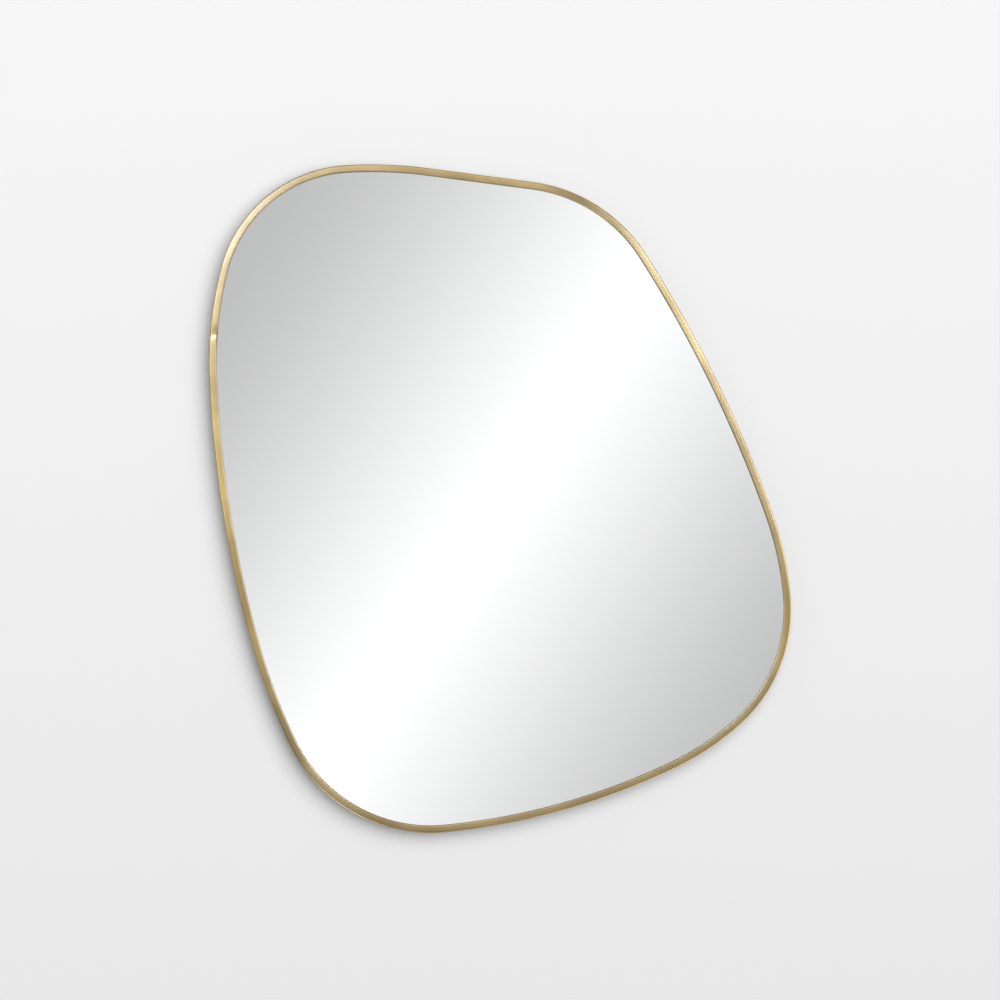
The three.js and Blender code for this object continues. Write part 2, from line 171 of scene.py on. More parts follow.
class Outline:
    """The frame's outline as a smooth closed curve, clockwise from the front, starting at the seam."""

    spacing = 0.5 * MM

    def __init__(self):
        rear_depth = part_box("frame")[1].y
        corners = {tuple(corner) for corner in corners_of("frame")}
        rear = [(x, z) for x, y, z in corners if rear_depth - y < same_point]
        hull = convex_hull_2d([Vector(p) for p in rear])
        outer = np.array([rear[i] for i in hull])
        inner = np.array([p for i, p in enumerate(rear) if i not in set(hull)])
        ahead = np.roll(outer, -1, axis=0)
        if np.sum(outer[:, 0] * ahead[:, 1] - outer[:, 1] * ahead[:, 0]) > 0:
            outer = outer[::-1]
        nearest = np.linalg.norm(outer[:, None] - inner[None], axis=2).argmin(axis=1)
        away = outer - inner[nearest]
        self.wall_thickness = float(np.linalg.norm(away, axis=1).mean())
        self.trace(outer, away / np.linalg.norm(away, axis=1)[:, None])

    def trace(self, corners, normals):
        """Joins the corners by curves that leave and meet each one square to its normal."""
        points, outs = [], []
        for i, start in enumerate(corners):
            j = (i + 1) % len(corners)
            chord = corners[j] - start
            length = np.linalg.norm(chord)
            bend = math.acos(min(1.0, float(normals[i] @ normals[j])))
            reach = length / math.cos(bend / 4) ** 2
            leave, arrive = (np.array([n[1], -n[0]]) * reach for n in (normals[i], normals[j]))
            steps = max(1, math.ceil(length / self.spacing))
            t = (np.arange(steps) / steps)[:, None]
            points.append(
                (2 * t**3 - 3 * t**2 + 1) * start + (t**3 - 2 * t**2 + t) * leave
                + (3 * t**2 - 2 * t**3) * corners[j] + (t**3 - t**2) * arrive
            )
            along = (
                (6 * t - 6 * t**2) * chord
                + (3 * t**2 - 4 * t + 1) * leave + (3 * t**2 - 2 * t) * arrive
            )
            outs.append(np.column_stack([-along[:, 1], along[:, 0]]))
        points, outs = np.vstack(points), np.vstack(outs)
        left = points[:, 0] < points[:, 0].mean()
        first = np.where(left, np.abs(points[:, 1] - seam_height), np.inf).argmin()
        self.points = np.roll(points, -first, axis=0)
        self.outs = np.roll(outs, -first, axis=0)
        steps = np.linalg.norm(np.roll(self.points, -1, axis=0) - self.points, axis=1)
        self.distances = np.concatenate([[0.0], np.cumsum(steps)[:-1]])
        self.length = float(steps.sum())

    def at(self, distances):
        """The points at some distances from the seam, and the unit normals there that point out."""
        read = [
            np.interp(distances, self.distances, values[:, k], period=self.length)
            for values in (self.points, self.outs)
            for k in (0, 1)
        ]
        outs = np.column_stack(read[2:])
        return np.column_stack(read[:2]), outs / np.linalg.norm(outs, axis=1)[:, None]

    def out_near(self, x, z):
        """The direction out of the outline at its point nearest to (x, z)."""
        nearest = np.linalg.norm(self.points - (x, z), axis=1).argmin()
        return self.outs[nearest] / np.linalg.norm(self.outs[nearest])


outline = Outline()


def read_face_width():
    """How far the frame's face reaches in from the outline, read at the top of the frame."""
    corners = np.array([(corner.x, corner.z) for corner in corners_of("frame")])
    top = outline.points[outline.points[:, 1].argmax()]
    aside, below = 20 * MM, 30 * MM
    near = (np.abs(corners[:, 0] - top[0]) < aside) & (corners[:, 1] > top[1] - below)
    return float(round((top[1] - corners[near, 1].min()) / MM) * MM)


def outline_stations():
    """Distances from the seam, closer together near it."""
    near = np.arange(0, seam_reach, seam_station_spacing)
    far_length = outline.length - 2 * seam_reach
    far_count = math.ceil(far_length / station_spacing)
    far = seam_reach + far_length * np.arange(far_count) / far_count
    return np.concatenate([near, far, outline.length - seam_reach + near])


face_width = read_face_width()
stations = outline_stations()

# ---- closed outlines of sections and profiles ----


def rounded(corners, steps=5):
    """A closed polygon through corners (a, b, radius), each rounded to its radius."""
    points = []
    count = len(corners)
    for i, (a, b, radius) in enumerate(corners):
        here = np.array([a, b])
        if radius == 0:
            points.append(here)
            continue
        back = np.array(corners[i - 1][:2]) - here
        ahead = np.array(corners[(i + 1) % count][:2]) - here
        back, ahead = back / np.linalg.norm(back), ahead / np.linalg.norm(ahead)
        half = math.acos(float(np.clip(back @ ahead, -1, 1))) / 2
        middle = (back + ahead) / np.linalg.norm(back + ahead)
        centre = here + middle * radius / math.sin(half)
        start = here + back * radius / math.tan(half) - centre
        end = here + ahead * radius / math.tan(half) - centre
        sweep = math.pi - 2 * half
        for k in range(steps + 1):
            share = k / steps
            mixed = math.sin((1 - share) * sweep) * start + math.sin(share * sweep) * end
            points.append(centre + mixed / math.sin(sweep))
    return np.array(points)


def subdivided(points, longest):
    """The same closed polygon with no side longer than a length."""
    made = []
    for i, point in enumerate(points):
        ahead = points[(i + 1) % len(points)]
        parts = max(1, math.ceil(np.linalg.norm(ahead - point) / longest))
        made += [point + (ahead - point) * k / parts for k in range(parts)]
    return np.array(made)


# ---- meshes ----


def finish_mesh(name, vertices, faces):
    """A mesh with its faces turned outwards."""
    mesh = bpy.data.meshes.new(name)
    mesh.from_pydata([tuple(map(float, v)) for v in vertices], [], faces)
    shape = bmesh.new()
    shape.from_mesh(mesh)
    bmesh.ops.recalc_face_normals(shape, faces=shape.faces)
    shape.to_mesh(mesh)
    shape.free()
    return smoothed(mesh)


def smoothed(mesh):
    """The mesh with smooth shading, but for its sharp edges."""
    mesh.shade_smooth()
    mesh.set_sharp_from_angle(angle=math.radians(sharp_angle))
    return mesh


def joined(name, meshes):
    """One mesh of several closed shells."""
    shape = bmesh.new()
    for mesh in meshes:
        shape.from_mesh(mesh)
    result = bpy.data.meshes.new(name)
    shape.to_mesh(result)
    shape.free()
    return smoothed(result)


def ring_faces(rows, columns, closed=False):
    """Quads between rows of vertices, where each row is a ring. Closed, the last row joins the first."""
    faces = []
    for i in range(rows if closed else rows - 1):
        here, ahead = i * columns, (i + 1) % rows * columns
        for j in range(columns):
            j2 = (j + 1) % columns
            faces.append((here + j, ahead + j, ahead + j2, here + j2))
    return faces


def capped_faces(rows, columns):
    """The same quads, and a face over the first row and over the last."""
    last = (rows - 1) * columns
    return ring_faces(rows, columns) + [tuple(range(columns)), tuple(range(last, last + columns))]


def add_object(name, data):
    piece = bpy.data.objects.new(name, data)
    bpy.context.scene.collection.objects.link(piece)
    return piece


def place(name, mesh, materials, replaced, matrix=None, body="mirror_body"):
    """Adds a piece that stands for a CAD node and rides on its body."""
    piece = add_object(name, mesh)
    for material in materials:
        if material.name not in mesh.materials:
            mesh.materials.append(material)
    if matrix is not None:
        piece.matrix_world = matrix
    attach(piece, body)
    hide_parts(replaced)
    return piece


def carved(mesh, cutter_mesh):
    """The mesh with another closed mesh cut away."""
    target = add_object("target", mesh)
    cutter = add_object("cutter", cutter_mesh)
    cut = target.modifiers.new("cut", "BOOLEAN")
    cut.operation = "DIFFERENCE"
    cut.solver = "EXACT"
    cut.object = cutter
    evaluated = target.evaluated_get(bpy.context.evaluated_depsgraph_get())
    result = bpy.data.meshes.new_from_object(evaluated)
    result.name = mesh.name
    bpy.data.objects.remove(target)
    bpy.data.objects.remove(cutter)
    return smoothed(result)


def soften(piece, width):
    """Bevels a stamped piece's edges."""
    bevel = piece.modifiers.new("soft_edges", "BEVEL")
    bevel.width = width
    bevel.segments = 2
    bevel.limit_method = "ANGLE"
    bevel.angle_limit = math.radians(softened_angle)
    bevel.harden_normals = True


def swept_ring(name, section, reshape=None):
    """A closed tube along the outline, from a section of (inset, depth) points. Its UVs are metres."""
    places, outs = outline.at(stations)
    inset = np.tile(section[:, 0], (len(stations), 1))
    depth = np.tile(section[:, 1], (len(stations), 1))
    if reshape is not None:
        inset, depth = reshape(inset, depth)
    x = places[:, :1] - outs[:, :1] * inset
    z = places[:, 1:] - outs[:, 1:] * inset
    vertices = np.stack([x, depth, z], axis=2).reshape(-1, 3)
    count = len(section)
    mesh = finish_mesh(name, vertices, ring_faces(len(stations), count, closed=True))
    sides = np.linalg.norm(np.roll(section, -1, axis=0) - section, axis=1)
    round_section = np.concatenate([[0.0], np.cumsum(sides)])
    along = np.append(stations, outline.length)
    layer = mesh.uv_layers.new(name="ring")
    for polygon in mesh.polygons:
        first_row, first_column = divmod(polygon.index, count)
        for k in polygon.loop_indices:
            row, column = divmod(mesh.loops[k].vertex_index, count)
            row = len(stations) if row < first_row else row
            column = count if column < first_column else column
            layer.data[k].uv = (along[row], round_section[column])
    return mesh


def plate_mesh(name, inset, front, back, arris):
    """A plate inside the outline with chamfered edges. Its front, rim and back each have a material."""
    places, outs = outline.at(stations)
    levels = ((inset + arris, front), (inset, front + arris), (inset, back - arris), (inset + arris, back))
    rows = []
    for edge, depth in levels:
        x, z = (places - outs * edge).T
        rows.append(np.column_stack([x, np.full(len(places), depth), z]))
    mesh = finish_mesh(name, np.vstack(rows), capped_faces(len(rows), len(places)))
    for polygon in mesh.polygons:
        polygon.material_index = 1
        if len(polygon.vertices) > 4:
            polygon.material_index = 0 if polygon.center.y < (front + back) / 2 else 2
    return mesh


def lathe_mesh(name, profile, sides=round_sides, radius_at=None):
    """A closed solid of revolution about +Y, from (radius, depth) points that go from axis to axis."""
    turns = 2 * math.pi * np.arange(sides) / sides
    vertices = [(0.0, profile[0][1], 0.0)]
    for radius, depth in profile[1:-1]:
        for turn in turns:
            reach = radius if radius_at is None else radius_at(radius, depth, turn)
            vertices.append((reach * math.cos(turn), depth, reach * math.sin(turn)))
    vertices.append((0.0, profile[-1][1], 0.0))
    rows = len(profile) - 2
    faces = [tuple(1 + k for k in face) for face in ring_faces(rows, sides)]
    last = len(vertices) - 1
    for k in range(sides):
        k2 = (k + 1) % sides
        faces.append((0, 1 + k, 1 + k2))
        faces.append((last, last - sides + k2, last - sides + k))
    return finish_mesh(name, vertices, faces)


def round_cutter(radius, x, z, front, back):
    mesh = lathe_mesh("round_cutter", [(0, front), (radius, front), (radius, back), (0, back)])
    mesh.transform(Matrix.Translation((x, 0, z)))
    return mesh


def extruded(name, profile, width):
    """A profile of (height, depth) points, along +Z and +Y, extruded across X."""
    vertices = [(side * width / 2, depth, height) for side in (-1, 1) for height, depth in profile]
    return finish_mesh(name, vertices, capped_faces(2, len(profile)))


def wire_loop(name, path, normals):
    """A closed loop of round wire along a flat path, with the unit normals in the path's plane."""
    turns = 2 * math.pi * np.arange(wire_sides) / wire_sides
    path, normals = np.array(path), np.array(normals)
    x = path[:, :1] + normals[:, :1] * wire_radius * np.cos(turns)
    z = path[:, 1:] + normals[:, 1:] * wire_radius * np.cos(turns)
    y = np.tile(wire_radius * np.sin(turns), (len(path), 1))
    vertices = np.stack([x, y, z], axis=2).reshape(-1, 3)
    return finish_mesh(name, vertices, ring_faces(len(path), wire_sides, closed=True))


# ---- shader nodes ----


def node(tree, kind, inputs=(), **settings):
    """Adds a node. Inputs are values or sockets, in order or by name."""
    made = tree.nodes.new("ShaderNode" + kind)
    for key, value in settings.items():
        setattr(made, key, value)
    pairs = inputs.items() if isinstance(inputs, dict) else enumerate(inputs)
    for key, value in pairs:
        if isinstance(value, bpy.types.NodeSocket):
            tree.links.new(value, made.inputs[key])
        else:
            made.inputs[key].default_value = value
    return made


def math_node(tree, operation, *values, clamp=False):
    return node(tree, "Math", values, operation=operation, use_clamp=clamp).outputs[0]


def vector_math(tree, operation, a, b):
    made = node(tree, "VectorMath", (a, b), operation=operation)
    return made.outputs["Value" if operation == "DOT_PRODUCT" else "Vector"]


def scaled(tree, vector, factor):
    """A vector or colour times a number."""
    return node(tree, "VectorMath", {0: vector, "Scale": factor}, operation="SCALE").outputs["Vector"]


def remapped(tree, value, low, high, to_low, to_high, smooth=False):
    kind = "SMOOTHSTEP" if smooth else "LINEAR"
    return node(tree, "MapRange", (value, low, high, to_low, to_high), interpolation_type=kind).outputs[0]


def spread(tree, pattern, low, high):
    """A noise pattern, with its usual values spread from low to high."""
    return remapped(tree, pattern, 0.3, 0.7, low, high)


def noise(tree, vector, scale, detail=4.0, roughness=0.6):
    """Noise with its scale in grains to the metre. Three scales stretch it."""
    if isinstance(scale, tuple):
        vector, scale = vector_math(tree, "MULTIPLY", vector, scale), 1.0
    inputs = {"Vector": vector, "Scale": scale, "Detail": detail, "Roughness": roughness}
    return node(tree, "TexNoise", inputs).outputs[0]


def mixed_colour(tree, share, a, b):
    """Colour a where the share is 0 and b where it is 1."""
    return node(tree, "Mix", {0: share, 6: a, 7: b}, data_type="RGBA").outputs[2]


def rgba(red, green, blue):
    return (red, green, blue, 1.0)


def grey(tone):
    return rgba(tone, tone, tone)


def object_coordinates(tree):
    return node(tree, "TexCoord").outputs["Object"]


def new_finish(name, **settings):
    """A Principled material, its node tree and its coordinates, with some of the shader's sockets set."""
    material = bpy.data.materials.new(name)
    material.use_nodes = True
    tree = material.node_tree
    for key, value in settings.items():
        tree.nodes["Principled BSDF"].inputs[key.replace("_", " ")].default_value = value
    return material, tree, object_coordinates(tree)


def complete(material, colour, roughness, relief, strength, depth):
    """Wires up a finish's colour, roughness and the relief that its bumps follow."""
    tree = material.node_tree
    bump = node(tree, "Bump", {"Strength": strength, "Distance": depth, "Height": relief})
    for key, socket in (("Base Color", colour), ("Roughness", roughness), ("Normal", bump.outputs[0])):
        tree.links.new(socket, tree.nodes["Principled BSDF"].inputs[key])
    return material


# ---- finishes ----

BRASS_LIGHT = rgba(0.630, 0.460, 0.200)
BRASS_DARK = rgba(0.418, 0.305, 0.131)


def brushed_brass():
    """Satin brass, brushed along the frame, under a thin clear lacquer. Its UVs are metres."""
    material, tree, _ = new_finish(
        "brushed_brass", Metallic=1.0, Anisotropic=0.82, Anisotropic_Rotation=0.25,
        Coat_Weight=0.2, Coat_Roughness=0.25,
    )
    tangent = node(tree, "Tangent", direction_type="UV_MAP", uv_map="ring")
    tree.links.new(tangent.outputs[0], tree.nodes["Principled BSDF"].inputs["Tangent"])
    uv = node(tree, "UVMap", uv_map="ring").outputs[0]
    swells = noise(tree, uv, (9, 15, 0), 1.0, 0.5)
    tones = noise(tree, uv, (28, 60, 0), 3.0, 0.6)
    streaks = noise(tree, uv, (22, 2600, 0), 4.0, 0.65)
    fine_streaks = noise(tree, uv, (60, 9000, 0), 2.0, 0.6)
    swell_share = remapped(tree, swells, 0.35, 0.65, -0.15, 0.75)
    patches = math_node(tree, "ADD", swell_share, spread(tree, tones, 0.0, 0.4))
    share = math_node(tree, "ADD", patches, spread(tree, streaks, -0.1, 0.1), clamp=True)
    return complete(
        material,
        colour=mixed_colour(tree, share, BRASS_DARK, BRASS_LIGHT),
        roughness=remapped(tree, streaks, 0.25, 0.75, 0.29, 0.36),
        relief=math_node(tree, "ADD", streaks, fine_streaks), strength=0.12, depth=0.02 * MM,
    )


def worn_metal(name, colours, roughness, tones, relief, strength, depth, **settings):
    """Metal with patches of tone and brighter worn edges. Tones and relief are noises, as in mottled."""
    material, tree, where = new_finish(name, Metallic=1.0, **settings)
    patches = noise(tree, where, *tones)
    pointiness = node(tree, "NewGeometry").outputs["Pointiness"]
    worn = remapped(tree, pointiness, 0.52, 0.62, 0.0, 0.6)
    share = math_node(tree, "ADD", spread(tree, patches, 0.0, 0.8), worn, clamp=True)
    return complete(
        material,
        colour=mixed_colour(tree, share, *colours),
        roughness=spread(tree, patches, *roughness),
        relief=noise(tree, where, *relief), strength=strength, depth=depth,
    )


def coated_brass():
    """The same brass finish on the welded tabs, which aren't brushed."""
    return worn_metal(
        "coated_brass", (BRASS_DARK, BRASS_LIGHT), roughness=(0.36, 0.48), tones=(90,),
        relief=(2200, 2.0, 0.6), strength=0.25, depth=0.03 * MM, Coat_Weight=0.35, Coat_Roughness=0.3,
    )


def plated_steel(name, dark, light, roughness):
    """Zinc- or nickel-plated steel, finely scratched."""
    return worn_metal(
        name, (dark, light), roughness=roughness, tones=(160, 3.0, 0.6),
        relief=((300, 300, 4200), 3.0, 0.7), strength=0.15, depth=0.02 * MM,
    )


def silvering():
    """The mirror's front: silver under clear float glass, with the faint waviness of float glass."""
    material, tree, where = new_finish("silvering", Metallic=1.0, Coat_Weight=0.6, Coat_Roughness=0.01)
    haze = noise(tree, where, 35)
    return complete(
        material,
        colour=mixed_colour(tree, haze, rgba(0.925, 0.935, 0.93), rgba(0.94, 0.945, 0.945)),
        roughness=remapped(tree, haze, 0.3, 0.8, 0.012, 0.028),
        relief=noise(tree, where, (9.0, 9.0, 3.15), 1.0, 0.4), strength=0.02, depth=0.05 * MM,
    )


def mottled(name, colours, roughness, tones, relief, strength, depth, **settings):
    """A plain finish. Its tones and its relief are noises: scale, detail and roughness."""
    material, tree, where = new_finish(name, **settings)
    pattern = noise(tree, where, *tones)
    return complete(
        material,
        colour=mixed_colour(tree, pattern, *colours),
        roughness=spread(tree, pattern, *roughness),
        relief=noise(tree, where, *relief), strength=strength, depth=depth,
    )


def glass_edge():
    ground = ((400, 2400, 400), 4.0, 0.7)
    return mottled(
        "glass_edge", (rgba(0.10, 0.19, 0.16), rgba(0.25, 0.38, 0.33)), roughness=(0.25, 0.5),
        tones=ground, relief=ground, strength=0.3, depth=0.05 * MM, Coat_Weight=1.0, Coat_Roughness=0.15,
    )


def backing_paint():
    return mottled(
        "backing_paint", (rgba(0.17, 0.18, 0.19), rgba(0.24, 0.25, 0.26)), roughness=(0.4, 0.55),
        tones=(14,), relief=(500, 3.0, 0.5), strength=0.2, depth=0.05 * MM,
    )


def clear_film():
    creases = (30, 5.0, 0.65)
    return mottled(
        "clear_film", (rgba(0.48, 0.56, 0.60), rgba(0.60, 0.67, 0.70)), roughness=(0.3, 0.45),
        tones=creases, relief=creases, strength=0.2, depth=0.1 * MM, Coat_Weight=0.4, Coat_Roughness=0.2,
    )


def foam(name, dark, light, cell_scale):
    material, tree, where = new_finish(name)
    cells = node(tree, "TexVoronoi", {"Vector": where, "Scale": cell_scale}).outputs["Distance"]
    return complete(
        material,
        colour=mixed_colour(tree, noise(tree, where, 60), dark, light),
        roughness=remapped(tree, cells, 0.0, 1.0, 0.8, 0.98),
        relief=cells, strength=0.6, depth=0.15 * MM,
    )


def fibreboard(name, dark, light, fuzz):
    """Pressed wood fibre: short crossed fibres over soft clouds of tone."""
    material, tree, where = new_finish(name)
    clouds = noise(tree, where, 7)
    crossed = noise(tree, where, 700, 3.0, 0.7)
    for scales in ((260, 900, 1500), (1500, 900, 260)):
        crossed = math_node(tree, "MAXIMUM", crossed, noise(tree, where, scales, 3.0, 0.7))
    specks = remapped(tree, noise(tree, where, 420, 2.0, 0.5), 0.62, 0.72, 0.0, 0.5)
    fibre_tone = remapped(tree, crossed, 0.4, 0.75, 0.0, 0.8)
    tone = math_node(tree, "ADD", fibre_tone, spread(tree, clouds, -0.15, 0.25))
    share = math_node(tree, "SUBTRACT", tone, specks, clamp=True)
    return complete(
        material,
        colour=mixed_colour(tree, share, dark, light),
        roughness=remapped(tree, crossed, 0.4, 0.8, 0.72, 0.92),
        relief=crossed, strength=fuzz, depth=0.12 * MM,
    )


def moulded_rubber():
    material, tree, where = new_finish("moulded_rubber")
    grain = noise(tree, where, 1300, 3.0, 0.6)
    dust = remapped(tree, noise(tree, where, 120, 4.0, 0.65), 0.5, 0.8, 0.0, 0.6)
    return complete(
        material,
        colour=mixed_colour(tree, dust, rgba(0.012, 0.012, 0.013), rgba(0.05, 0.048, 0.045)),
        roughness=spread(tree, grain, 0.55, 0.75),
        relief=grain, strength=0.3, depth=0.06 * MM,
    )


# ---- the frame ----


def frame_section():
    """The L section as (inset, depth) points, from the outer rear edge round to the outer wall."""
    low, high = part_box("frame")
    face_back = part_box("glazing_gasket")[0].y
    wall = outline.wall_thickness
    corners = [
        (0, high.y, rear_edge_radius),
        (wall, high.y, rear_edge_radius),
        (wall, face_back, inside_corner_radius),
        (face_width, face_back, rear_edge_radius),
        (face_width, low.y, inner_edge_radius),
        (0, low.y, outer_edge_radius),
    ]
    return subdivided(rounded(corners), section_spacing)


def shape_face(inset, depth):
    """Domes the face a little, and dips and narrows it at the seam."""
    from_seam = np.where(stations < outline.length / 2, stations, stations - outline.length)[:, None]
    from_seam = from_seam - seam_slant * (inset - face_width / 2)
    front = np.clip(1 - (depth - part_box("frame")[0].y) / outer_edge_radius, 0, 1)
    crown = (inset - face_crest_inset) ** 2 / (2 * face_crown_radius)
    dip_reach = np.where(from_seam > 0, seam_dip_above, seam_dip_below)
    dip = seam_dip_depth * np.exp(-((from_seam / dip_reach) ** 2))
    reach = np.where(from_seam > 0, seam_narrowing_above, seam_narrowing_below)
    narrower = seam_narrowing * np.exp(-((from_seam / reach) ** 2))
    inner_share = np.clip(inset / face_width, 0, 1) ** 2
    return inset - narrower * inner_share, depth + (crown + dip) * front**0.5


def make_frame():
    mesh = swept_ring("brass_frame", frame_section(), shape_face)
    place("brass_frame", mesh, [brushed_brass()], "frame")


def make_gasket():
    low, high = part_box("glazing_gasket")
    inner = face_width + gasket_reveal
    outer = outline.wall_thickness + gasket_wall_gap
    corners = [
        (outer, low.y, 0), (outer, high.y, 0),
        (inner, high.y, gasket_lip_radius), (inner, low.y, gasket_lip_radius),
    ]
    mesh = swept_ring("foam_gasket", rounded(corners, 3))
    finish = foam("black_foam", rgba(0.012, 0.012, 0.011), rgba(0.03, 0.029, 0.026), 1500)
    place("foam_gasket", mesh, [finish], "glazing_gasket")


def inset_of(name):
    """How far inside the outline a plate's edge lies, read from its highest point."""
    return float(outline.points[:, 1].max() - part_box(name)[1].z)


def make_glass():
    low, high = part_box("mirror_glass")
    mesh = plate_mesh("silvered_plate", inset_of("mirror_glass"), low.y, high.y, glass_arris)
    finishes = [silvering(), glass_edge(), backing_paint()]
    place("silvered_plate", mesh, finishes, "mirror_glass")


# ---- the board ----


def nodes_named(prefix):
    """The names of the CAD nodes that start with a prefix, in order."""
    return sorted(name for name in frame["nodes"] if name.startswith(prefix))


def screw_places(*prefixes):
    """The middle of each screw whose node's name starts with one of the prefixes."""
    names = [name for prefix in prefixes for name in nodes_named(prefix)]
    return {name: sum(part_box(name), Vector()) / 2 for name in names}


def make_board():
    low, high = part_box("backing_board")
    mesh = plate_mesh("fibre_board", inset_of("backing_board"), low.y, high.y, board_arris)
    cutters = []
    for name, centre in screw_places("tab_screw", "hanger_screw").items():
        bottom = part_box(name)[0].y - pilot_spare
        cutters.append(round_cutter(pilot_radius, centre.x, centre.z, bottom, high.y + cutter_spare))
    board = carved(mesh, joined("pilot_cutters", cutters))
    face = fibreboard("board_face", rgba(0.30, 0.20, 0.11), rgba(0.52, 0.375, 0.235), 0.25)
    edge = fibreboard("board_edge", rgba(0.22, 0.14, 0.075), rgba(0.40, 0.27, 0.16), 0.7)
    place("fibre_board", board, [face, edge, face.copy()], "backing_board")


# ---- screws ----


def thread_reach(radius, depth, turn):
    """The screw's radius, with a sharp thread on the shank below its head."""
    if depth >= -thread_start or radius > thread_radius:
        return radius
    phase = (depth / thread_pitch + turn / (2 * math.pi)) % 1
    ridge = max(0.0, 1 - thread_sharpness * abs(phase - 0.5))
    taper = min(1.0, (depth + screw_length) / screw_tip_length)
    ridge_height = (thread_radius - thread_core_radius) * min(1.0, thread_tip_rise * taper)
    return thread_core_radius * taper + ridge_height * ridge


def screw_mesh():
    """A pan-head cross-recess screw. Its head seats on Y = 0 and faces +Y."""
    crown = screw_head_height - screw_rim_height
    profile = [(0, -screw_length)]
    for k in range(thread_rows):
        profile.append((thread_radius, -screw_length * (1 - (k + 0.5) / thread_rows)))
    profile += [(thread_core_radius, 0), (screw_head_radius - screw_rim_chamfer, 0)]
    profile.append((screw_head_radius, screw_rim_chamfer))
    for rise in math.pi / 2 * np.arange(9) / 9:
        radius = screw_head_radius * math.cos(rise) ** screw_crown_fullness
        profile.append((radius, screw_rim_height + crown * math.sin(rise)))
    profile.append((0, screw_head_height))
    return carved(lathe_mesh("pan_head_screw", profile, radius_at=thread_reach), cross_cutter())


def cross_cutter():
    """A cross that narrows downwards, as the driver's tip does."""
    levels = (  # each with its height, reach and width
        (screw_head_height + cutter_spare / 2, 1.15 * recess_reach, 1.1 * recess_width),
        (screw_head_height - 0.7 * recess_depth, 0.62 * recess_reach, 0.72 * recess_width),
        (screw_head_height - recess_depth, 0.25 * recess_reach, 0.3 * recess_width),
    )
    vertices = []
    for height, reach, width in levels:
        half = width / 2
        for turn in range(4):
            for x, z in ((reach, -half), (reach, half), (half, half)):
                for _ in range(turn):
                    x, z = -z, x
                vertices.append((x, height, z))
    return finish_mesh("cross_cutter", vertices, capped_faces(len(levels), len(vertices) // len(levels)))


def make_screws(zinc):
    shared = screw_mesh()
    for i, (name, centre) in enumerate(screw_places("tab_screw", "hanger_screw").items()):
        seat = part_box(name)[1].y - screw_head_height
        turned = Matrix.Rotation(math.radians(screw_turn * i), 4, "Y")
        matrix = Matrix.Translation((centre.x, seat, centre.z)) @ turned
        place(f"{name}_threaded", shared, [zinc], name, matrix)


# ---- tabs ----


def tab_mesh(reach, upstand, width):
    """An L-shaped tab. Its foot lies on Y = 0 and points along -Z, away from the frame's wall at Z = 0."""
    corners = [
        (0, 0, tab_bend_outside),
        (0, upstand, tab_edge_radius),
        (-tab_thickness, upstand, tab_edge_radius),
        (-tab_thickness, tab_thickness, tab_bend_inside),
        (-reach, tab_thickness, tab_edge_radius),
        (-reach, 0, tab_edge_radius),
    ]
    return extruded("tab", rounded(corners), width)


def tab_width():
    """The tabs' width, measured along the outline at the first tab."""
    low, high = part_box("retaining_tab_1")
    out = outline.out_near(*(low.xz + high.xz) / 2)
    along = [corner.x * out[1] - corner.z * out[0] for corner in corners_of("retaining_tab_1")]
    return max(along) - min(along)


def corner_cutters(reach, width, radius, thickness):
    """Two cutters that round the free corners of a strip whose end is at Z = -reach."""
    cutters = []
    for side in (-1, 1):
        arc = [
            (side * (width / 2 - radius + radius * math.sin(a)), -reach + radius - radius * math.cos(a))
            for a in np.linspace(0, math.pi / 2, 9)
        ]
        beside, beyond = side * (width / 2 + cutter_spare), -reach - cutter_spare
        outside = [(beside, -reach + radius), (beside, beyond), (side * (width / 2 - radius), beyond)]
        levels = (-cutter_spare, thickness + cutter_spare)
        vertices = [(x, y, z) for y in levels for x, z in arc + outside]
        cutters.append(finish_mesh("corner_cutter", vertices, capped_faces(2, len(vertices) // 2)))
    return cutters


def weld_bead(x, upstand, random):
    """A short uneven bead that fills the corner between the tab's end and the frame's wall."""
    rows, sides = 14, 12
    length = upstand - weld_bead_start - weld_bead_end
    vertices = []
    for i in range(rows):
        share = i / (rows - 1)
        blunt_end = max(0.08, math.sin(math.pi * share)) ** 0.4
        uneven = random.uniform(-weld_bead_unevenness, weld_bead_unevenness)
        reach = weld_bead_radius * blunt_end * (1 + weld_bead_ripple * math.sin(19 * share) + uneven)
        y = weld_bead_start + share * length
        for k in range(sides):
            turn = 2 * math.pi * k / sides
            vertices.append((x + reach * math.cos(turn), y, reach * math.sin(turn)))
    return finish_mesh("weld_bead", vertices, capped_faces(rows, sides))


